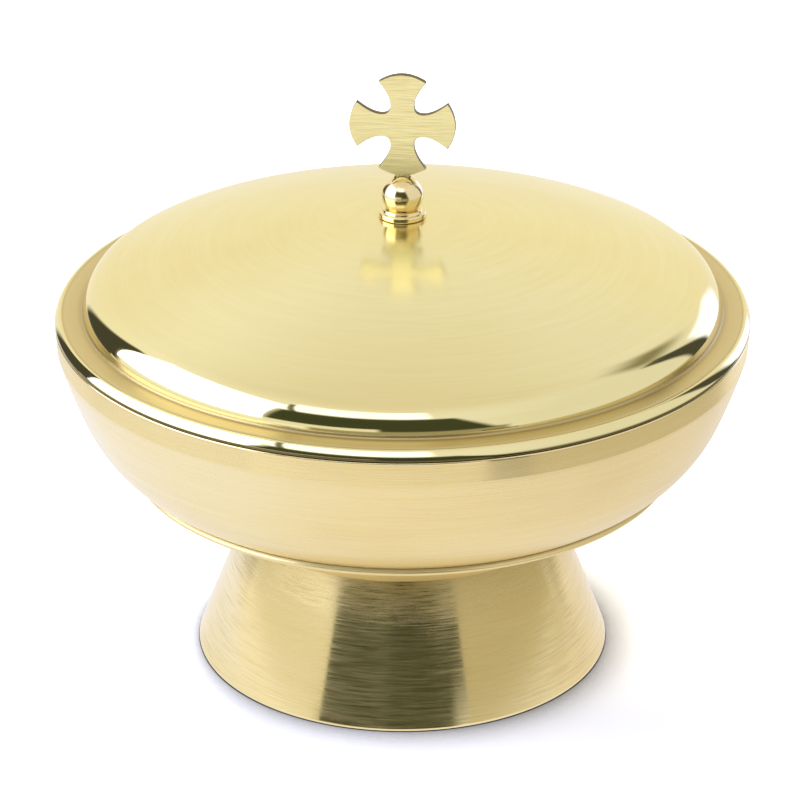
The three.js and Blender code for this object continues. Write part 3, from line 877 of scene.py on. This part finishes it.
PALE_FACE = ((0.93, 0.83, 0.44, 1), (0.88, 0.77, 0.38, 1), (0.97, 0.88, 0.52, 1))
# The plate's sides and bevels are painted nearly black, a painted shade and dark reflection along every
# edge.
PAINTED_EDGE_SHADE = ((0.15, 0.12, 0.04, 1), (0.09, 0.07, 0.02, 1), (0.25, 0.20, 0.08, 1))
brushed_cross = sideways_gold("brushed_cross_gold", PALE_FACE, 0.17)
shaded_edge_finish = sideways_gold("painted_shade_edge_gold", PAINTED_EDGE_SHADE, 0.3)
tang = block("tang", TANG.width, TANG.thickness, cross_foot - TANG.length, cross_foot + TANG.root)
cross = joined("cross", cross, tang)
for finish in (brushed_cross, shaded_edge_finish):
    cross.data.materials.append(finish)
keep_edges(cross.data, 28)
for face in cross.data.polygons:
    face.material_index = 0 if abs(face.normal.y) > 0.95 else 1
    face.use_smooth = abs(face.normal.y) < 0.999
take_place(cross, "lid", "satin_gold", "finial_cross")

# %% [markdown]
# ## Threads, as Geometry Nodes
#
# A screw thread is a groove that climbs by one pitch a turn. A cylinder's points are moved in and
# out by a triangle wave of height minus angle, and the wave fades out at both ends. The same tree
# serves the large stud under the bowl and the small one under the finial.

# %% Build the thread tree
def thread_tree():
    sizes = [(title, "Float") for title in ("Radius", "Depth", "Pitch", "Low", "High")]
    tree, (_, radius, depth, pitch, low, high, steps, rows, finish) = new_tree(
        "Thread", "Rod", ("Start", "Geometry"), *sizes, ("Steps around", "Int"), ("Rows", "Int"),
        ("Finish", "Material"))
    mesh, row, turns = round_grid(tree, steps, rows)

    climb = over(minus(row, 2), minus(rows, 5))
    climb = at_most(at_least(climb, 0), 1)
    length = minus(high, low)
    height = plus(low, times(climb, length))
    wave = math_node("PINGPONG", minus(over(height, pitch), turns), 0.5)
    from_end = times(at_most(climb, minus(1, climb)), length)
    lead = at_least(minus(depth, from_end), 0)
    cut_in = at_least(times(wave, 2, depth), lead)
    not_first = math_node("GREATER_THAN", row, 0.5)
    not_last = math_node("LESS_THAN", row, minus(rows, 1.5))
    thread_radius = times(minus(radius, cut_in), not_first, not_last)
    return close_round(tree, mesh, thread_radius, height, turns, finish)


thread = thread_tree()
print("thread tree:", len(thread.nodes), "nodes")

# %% [markdown]
# The large stud is soldered to the bowl and passes down through saucer and foot. The small one
# stands in the ball and passes through collar and dome. Their ends follow from the nuts on them.

# %% Cut the two studs
FACE_GAP = 0.05
WASHERS = dict(foot=Sizes(radius=12.0, thick=1.6), finial=Sizes(radius=5.0, thick=0.8, gap=0.25))
NUTS = dict(foot=Sizes(flats=13.0, thick=6.5), finial=Sizes(flats=7.0, thick=3.2))
NUT_CROWN = Sizes(share=0.96, slope=radians(28), soft=0.25)

foot_washer_top = FOOT.height - FOOT.wall - FACE_GAP
foot_nut_top = foot_washer_top - WASHERS["foot"].thick - FACE_GAP
foot_nut_low = foot_nut_top - NUTS["foot"].thick
finial_washer = WASHERS["finial"]
finial_washer_top = dome_centre + sqrt(inner_dome ** 2 - finial_washer.radius ** 2) - finial_washer.gap
finial_nut_top = finial_washer_top - finial_washer.thick - FACE_GAP
finial_nut_low = finial_nut_top - NUTS["finial"].thick


def threaded_rod(name, size, low, high):
    rows = int((high - low) / size.pitch * 8) + 5
    piece = run_tree(add_to_scene(name, new_mesh(name, [(0, 0, low * MM)])), thread, {
        "Radius": size.radius * MM, "Depth": size.pitch * 0.5 * MM, "Pitch": size.pitch * MM,
        "Low": low * MM, "High": high * MM, "Steps around": AROUND["thread"], "Rows": rows,
        "Finish": turned_brass,
    })
    keep_edges(piece.data, 40)
    return piece


foot_stud = threaded_rod("foot_stud", STUDS["foot"], foot_nut_low - STUDS["foot"].end, bowl_bottom)
take_place(foot_stud, "vessel", "bare_brass", "bowl_stud")
finial_stud = threaded_rod("finial_stud", STUDS["finial"], finial_nut_low - STUDS["finial"].end,
                           mortise_floor - BALL.web - HOLE_PLAY)
take_place(finial_stud, "lid", "bare_brass", "finial_stud")

# %% [markdown]
# ## Washers and nuts
#
# A washer is turned with slightly broken edges. A hexagon nut is a six-sided bar whose corners are
# turned off to a cone, which leaves the curved lines that every nut shows. Here each column of
# points takes its own corner radius, and the cone's height follows from it.

# %% Make the washers and nuts
def washer_stations(hole, radius, low, high, soft=0.12):
    corners = ((hole, low + soft), (hole + soft, low), (radius - soft, low), (radius, low + soft),
               (radius, high - soft), (radius - soft, high), (hole + soft, high), (hole, high - soft))
    return [Station(*corner, edge=1.0) for corner in corners + corners[:1]]


def hexagon_nut(name, flats, hole, low, high, around=AROUND["nut"]):
    crown, soft = flats / 2 * NUT_CROWN.share, NUT_CROWN.soft
    shape = bmesh.new()
    columns = []
    for i in range(around):
        angle = 2 * pi * i / around
        turned_by = (angle + pi / 6) % (pi / 3) - pi / 6
        corner = flats / 2 / cos(pi / 6 - abs(turned_by))
        drop = (corner - crown) * tan(NUT_CROWN.slope)
        profile = [(hole + soft, low), (crown, low), (corner, low + drop), (corner, high - drop),
                   (crown, high), (hole + soft, high), (hole, high - soft), (hole, low + soft)]
        columns.append([shape.verts.new((r * cos(angle) * MM, r * sin(angle) * MM, z * MM))
                        for r, z in profile])
    count = len(columns[0])
    for i in range(around):
        here, there = columns[i], columns[(i + 1) % around]
        for j in range(count):
            k = (j + 1) % count
            shape.faces.new((here[j], there[j], there[k], here[k]))
    mesh = mesh_of(name, shape)
    mesh.materials.append(turned_brass)
    keep_edges(mesh, 20)
    return add_to_scene(name, mesh)


for place, body, hole, top, nut_top, nut_low in (
    ("foot", "vessel", foot_hole, foot_washer_top, foot_nut_top, foot_nut_low),
    ("finial", "lid", finial_hole, finial_washer_top, finial_nut_top, finial_nut_low),
):
    flat_ring = turn(place + "_clamp_washer", washer_stations(
        hole, WASHERS[place].radius, top - WASHERS[place].thick, top), turned_brass, "nut")
    take_place(flat_ring, body, "bare_brass", place + "_washer")
    nut = hexagon_nut(place + "_hexagon_nut", NUTS[place].flats, hole, nut_low, nut_top)
    take_place(nut, body, "bare_brass", place + "_nut")

# %% [markdown]
# ## The table
#
# The vessel stands on a plain white sheet. For the camera its colour is scaled by a painted shadow,
# worked out from how much the foot hides each spot and a little darker towards the front, and lifted
# so that the open sheet is white and only the narrow space round the foot stays grey. The metal sees
# the same sheet as a glow of painted light whose tone changes with the direction: cool and bright on
# the window's side, warmer and darker far to the right.

# %% Lay the white sheet
VIEW_TURN = radians(5.5)
PAPER = ((0.86, 0.88, 0.91, 1), (0.90, 0.92, 0.95, 1))
SHEET_GLOW = Sizes(left=(1.06, 1.12, 1.42, 1), middle=(1.0, 0.985, 1.0, 1), right=(0.93, 0.90, 0.95, 1),
              far=(1.08, 1.05, 1.0, 1), far_right=(0.64, 0.60, 0.46, 1))


def outwards(degrees):
    """The level direction from the axis at an angle counted from the camera's side."""
    angle = radians(degrees) + VIEW_TURN
    return Vector((sin(angle), -cos(angle), 0))


def turned_from_view(vector):
    """A vector's direction about Z in degrees, counted from the camera's side to its right."""
    inputs = {"Vector": vector, "Angle": -VIEW_TURN}
    swing = new_node("ShaderNodeVectorRotate", inputs, rotation_type="Z_AXIS")
    x, y, z = split(swing.outputs[0])
    turned = math_node("ARCTAN2", x, times(y, -1))
    return times(turned, 180 / pi), x, y, z


def window(value, start, end, soft):
    rise = between(value, start - soft / 2, start + soft / 2)
    fall = between(value, end - soft / 2, end + soft / 2, 1.0, 0.0)
    return times(rise, fall)


def shader_mix(factor, a, b):
    return new_node("ShaderNodeMixShader", {0: factor, 1: a.outputs[0], 2: b.outputs[0]})


def bare_material(name):
    material, tree, shader = blank_material(name)
    tree.nodes.remove(shader)
    return material, tree, tree.nodes["Material Output"].inputs["Surface"]


def white_sheet():
    material, tree, surface = bare_material("white_sheet")
    path = tree.nodes.new("ShaderNodeLightPath")
    place = object_place(tree)
    turned, x, y, z = turned_from_view(place)
    fibre = noise(place, 900.0, 2.0)
    paper = mixed(between(fibre, 0.3, 0.7), *PAPER)

    # Painted shadow: for the camera the sheet's colour is scaled by the occlusion round the foot, a little
    # darker towards the front, and lifted up to white elsewhere.
    hollow = new_node("ShaderNodeAmbientOcclusion", {"Distance": 0.02}, tree)
    shade = times(between(hollow.outputs["AO"], 0.53, 0.97, 0.06, 1.95), between(y, -0.05, 0.0, 0.74, 1.15))
    seen = new_node("ShaderNodeVectorMath", {0: paper, "Scale": shade}, operation="SCALE")
    shown = mixed(path.outputs["Is Camera Ray"], paper, seen.outputs[0])
    cloth = new_node("ShaderNodeBsdfDiffuse", {"Color": shown})

    # Painted light: for the metal the sheet glows, bright and cool on the window's side and darker and
    # warmer far to the right.
    side = between(x, -0.13, 0.11, smooth=False)
    tone = layered(SHEET_GLOW.left, (side, 0.0, 0.5, 1.0, SHEET_GLOW.middle), (side, 0.5, 1.0, 1.0, SHEET_GLOW.right))
    away = from_axis(x, y)
    far = between(away, 0.13, 0.24)
    tone = mixed(far, tone, SHEET_GLOW.far)
    right = times(far, window(turned, 32, 112, 10))
    tone = mixed(right, tone, SHEET_GLOW.far_right)
    lit = new_node("ShaderNodeEmission", {"Color": tone})
    past_sheet = between(away, 0.40, 0.48)
    mirrored = shader_mix(past_sheet, lit, tree.nodes.new("ShaderNodeBsdfTransparent"))
    both = shader_mix(path.outputs["Is Glossy Ray"], cloth, mirrored)
    give(both.outputs[0], surface)
    return material


reach = 6.0
corners = [(-reach, -reach, 0), (reach, -reach, 0), (reach, reach, 0), (-reach, reach, 0)]
floor_mesh = new_mesh("floor", corners, [(0, 1, 2, 3)])
floor_mesh.materials.append(white_sheet())
add_to_scene("floor", floor_mesh)
print("floor", 2 * reach, "m across")

# %% [markdown]
# Low cards hang round the foot. The foot reflects them and the lid looks over them. The left one is
# bright, the right one is darker and warmer, and a narrow black one widens the foot's dark stripe to
# the right. Only the metal sees them, so each is plain light and casts no shadow.

# %% Hang the low cards
CARD_RADIUS, CARD_TOP = 0.18, 0.072
CARDS = (
    # name, start, end, low, colour
    ("left_card", -100, -39, 0.016, (0.84, 0.82, 0.73)),
    ("black_card", 21, 31.5, 0.028, (0.06, 0.07, 0.04)),
    ("right_card", 31.5, 98, 0.016, (0.57, 0.53, 0.40)),
)


def low_card(name, start, end, low, colour, steps=12):
    points, faces = [], []
    for i in range(steps + 1):
        foot_point = outwards(start + (end - start) * i / steps) * CARD_RADIUS
        points += [foot_point + Vector((0, 0, z)) for z in (low, CARD_TOP)]
        if i:
            faces.append((2 * i - 2, 2 * i, 2 * i + 1, 2 * i - 1))
    mesh = new_mesh(name, points, faces)
    material, tree, surface = bare_material(name)
    glow = new_node("ShaderNodeEmission", {"Color": colour + (1,)}, tree)
    give(glow.outputs[0], surface)
    mesh.materials.append(material)
    card = add_to_scene(name, mesh)
    card.visible_camera = card.visible_diffuse = card.visible_shadow = False


for row in CARDS:
    low_card(*row)
print("cards:", len(CARDS))

# %% [markdown]
# ## The studio as the metal sees it
#
# Polished metal has hardly any look of its own: it shows the room. The photograph's gold shows a
# bright window on the left, a black board behind the camera, a bright strip above that board, and
# dark gaps between the panels further round. Each is a patch of direction in degrees, whose middle
# drifts and whose half width grows with height. The world is plain white for the camera.

# %% Write the studio into the world
WALLS = Sizes(left=(1.10, 1.11, 1.20, 1), right=(0.89, 0.905, 0.98, 1), back=(1.01, 0.97, 0.84, 1),
              ceiling=(0.86, 0.83, 0.80, 1))
PATCHES = (
    # middle, drift, half width, growth, low, high, soft, colour
    (-128.5, 0.333, 13.5, -0.333, -12, 32, 5, (0.07, 0.07, 0.06)),
    (138, 0, 13, 0, -30, 19, 6, (1.35, 1.5, 2.4)),
    (121.1, -0.47, 6.5, -0.06, -30, 31, 4, (0.08, 0.08, 0.07)),
    (120, 0, 15, 0, 30, 47, 16, (0.3, 0.28, 0.2)),
    (-19.7, 0, 30.3, 0, 36, 54, 5, (1.6, 1.75, 2.5)),
    (-25.7, -0.476, 1.6, 0, 29, 52, 2, (0.2, 0.2, 0.18)),
    (2, 0, 34, 0, -15, 0, 4, (0.38, 0.35, 0.26)),
    (-8.5, -0.15, 39.5, -0.183, -3, 34.5, 5, (0.06, 0.07, 0.04)),
    (-29, 0, 21, 0, -4.5, 3.5, 3, (0.95, 0.95, 0.9)),
)


def patch(turned, height, row):
    middle, drift, half, growth, low, high, soft = row
    shifted = minus(turned, plus(middle, times(height, drift)))
    aside = math_node("ABSOLUTE", math_node("WRAP", shifted, 180, -180))
    reach = plus(half, times(height, growth))
    across = between(minus(aside, reach), -soft / 2, soft / 2, 1.0, 0.0)
    return times(across, window(height, low, high, soft))


def studio_world():
    world = bpy.data.worlds.new("studio")
    bpy.context.scene.world = world
    world.use_nodes = True
    tree = world.node_tree
    direction = tree.nodes.new("ShaderNodeTexCoord").outputs["Generated"]
    turned, x, y, z = turned_from_view(direction)
    height = times(math_node("ARCSINE", z), 180 / pi)
    light = mixed(between(x, -0.8, 0.8, smooth=False), WALLS.left, WALLS.right)
    behind = times(between(math_node("ABSOLUTE", turned), 110, 170), between(height, 20, 50, 1.0, 0.0))
    light = mixed(behind, light, WALLS.back)
    light = mixed(between(height, 40, 75), light, WALLS.ceiling)
    for *row, colour in PATCHES:
        light = mixed(patch(turned, height, row), light, colour + (1,))
    path = tree.nodes.new("ShaderNodeLightPath")
    seen = mixed(path.outputs["Is Camera Ray"], light, (1, 1, 1, 1))
    give(seen, tree.nodes["Background"].inputs["Color"])


studio_world()
print("studio patches:", len(PATCHES))

# %% [markdown]
# The window on the left stands close to the vessel, and its sill is higher than the foot. So the lid
# and the ball see all of it, while the foot looks under it at the sheet. Only a real lamp at its real
# distance does that, which is why this one isn't written into the world. A flat lamp's brightness is
# its power divided by its area and by pi, so the power follows from the wanted brightness.

# %% Stand the window lamp beside the vessel
LAMP = Sizes(turned=-75.0, distance=0.32, width=0.39, sill=0.085, top=0.42, radiance=2.6,
             colour=(0.66, 0.74, 1.08))


def window_lamp(size):
    data = bpy.data.lights.new("window_lamp", "AREA")
    data.shape = "RECTANGLE"
    data.size = size.width
    data.size_y = size.top - size.sill
    data.energy = size.radiance * pi * data.size * data.size_y
    data.color = size.colour
    lamp = add_to_scene("window_lamp", data)
    away = outwards(size.turned)
    lamp.location = away * size.distance + Vector((0, 0, (size.sill + size.top) / 2))
    lamp.rotation_euler = away.to_track_quat("Z", "Y").to_euler()
    return lamp


lamp = window_lamp(LAMP)
print("window lamp at", [round(v, 3) for v in lamp.location], "energy", round(lamp.data.energy, 3), "W")

# %% [markdown]
# ## The camera
#
# The rim's and the foot's ellipses fix the camera: a long lens, 25 degrees above the table. It
# stands a little to the right of the cross's face, since the photograph shows the end of the right
# arm. Distance and lens come from how the ellipses change from foot to lid.

# %% Set up the camera
CAMERA = Sizes(lens=162.0, distance=865.8, rise=24.98, aim_side=-0.6, aim_height=62.72)


def set_camera(size):
    data = bpy.data.cameras.new("camera")
    data.lens = size.lens
    data.sensor_width = 36.0
    data.clip_start = 0.01
    camera = add_to_scene("camera", data)
    rise = radians(size.rise)
    aim = outwards(90) * size.aim_side * MM + Vector((0, 0, size.aim_height * MM))
    away = outwards(0) * cos(rise) + Vector((0, 0, sin(rise)))
    camera.location = aim + away * size.distance * MM
    camera.rotation_euler = (-away).to_track_quat("-Z", "Y").to_euler()
    bpy.context.scene.camera = camera
    return camera


camera = set_camera(CAMERA)
bpy.context.scene.view_settings.view_transform = "Standard"
print("camera at", [round(v, 4) for v in camera.location])
